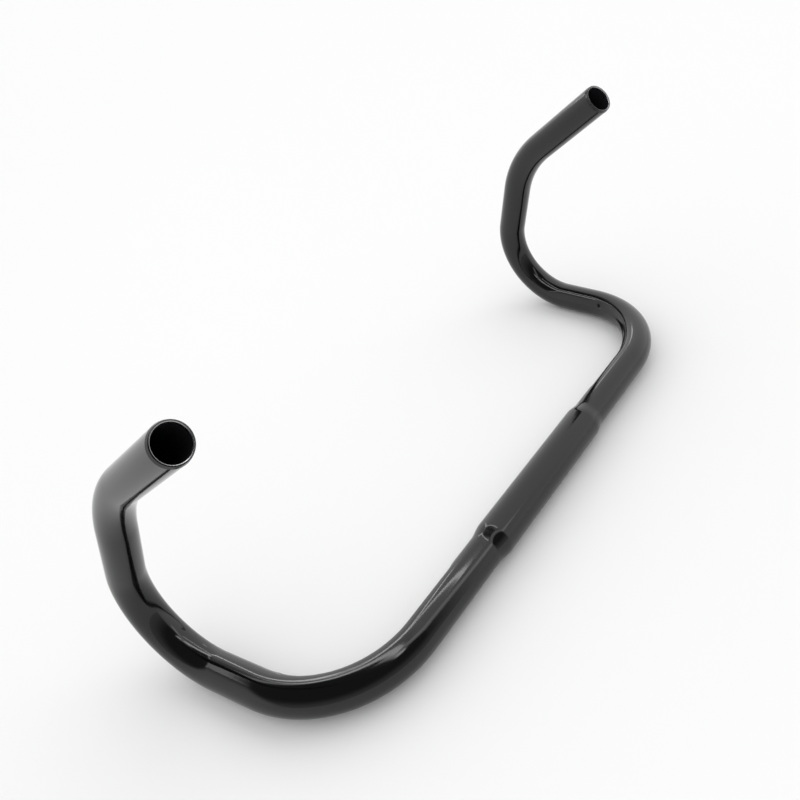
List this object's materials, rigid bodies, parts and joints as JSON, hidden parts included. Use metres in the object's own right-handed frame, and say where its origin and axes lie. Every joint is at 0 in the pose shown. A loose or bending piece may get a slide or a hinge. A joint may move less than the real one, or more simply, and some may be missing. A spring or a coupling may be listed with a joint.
{
  "type": "bicycle handlebar",
  "caption": "Drop handlebar bent from a single alloy tube, with a thick middle for the stem, pressed cable grooves and open ends. It steers a road bicycle.",
  "frame": {"origin": "centre of the clamped middle, on the tube's axis", "axes": "+X along the clamped middle, to the rider's left when the bar is fitted, because it lies with its hooks up; +Y the way the bar reaches forward; +Z from the tops up towards the hooks"},
  "size_m": [0.4574, 0.1656, 0.2072],
  "materials": {
    "gloss_black_alloy": "alloy tube, polished and dyed black with a clear gloss coat, bare inside"
  },
  "bodies": {
    "root": {"handlebar": "gloss_black_alloy"}
  },
  "joints": []
}
